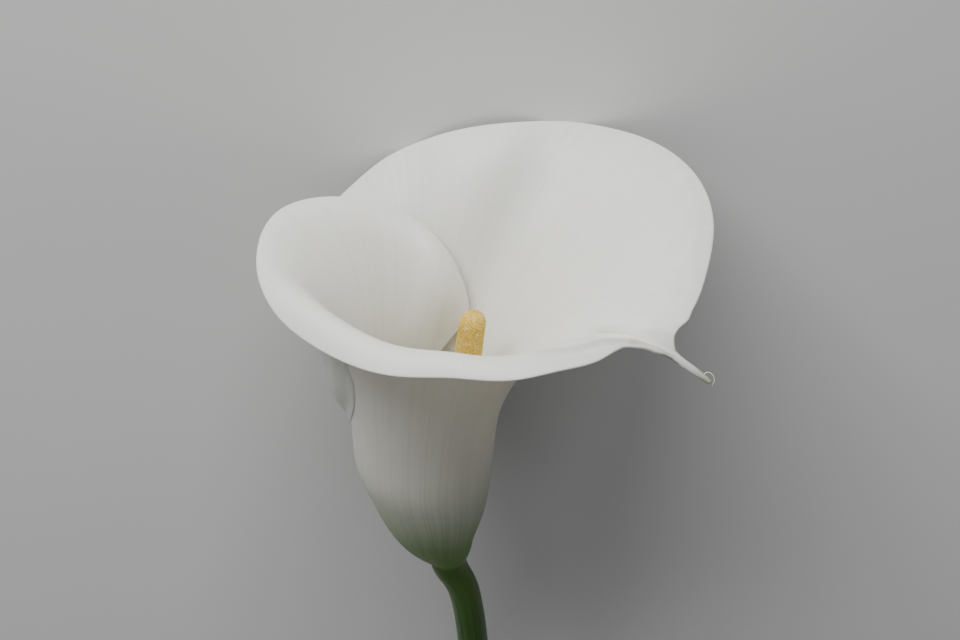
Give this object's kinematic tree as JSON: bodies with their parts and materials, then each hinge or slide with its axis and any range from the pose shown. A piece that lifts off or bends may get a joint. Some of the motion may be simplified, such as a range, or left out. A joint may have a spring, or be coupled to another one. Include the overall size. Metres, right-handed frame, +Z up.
{
  "type": "cut calla lily",
  "caption": "White calla lily as picked, lying on its back: a wrapped trumpet spathe with a rolled rim and a pointed tail, a floret-covered spadix and a round cut stem.",
  "frame": {"origin": "centre of the bottom of the flower's box as it lies on its back; the surface it lies on is z = 0", "axes": "+Y along the flower from the cut end of the stem to the mouth, +Z up, +X to the side that the tail points to"},
  "size_m": [0.1106, 0.2963, 0.0859],
  "materials": {
    "spathe": "satin",
    "spadix": "matte",
    "stem": "satin"
  },
  "bodies": {
    "root": {"spathe": "spathe", "spadix": "spadix", "stem": "stem"}
  },
  "joints": []
}
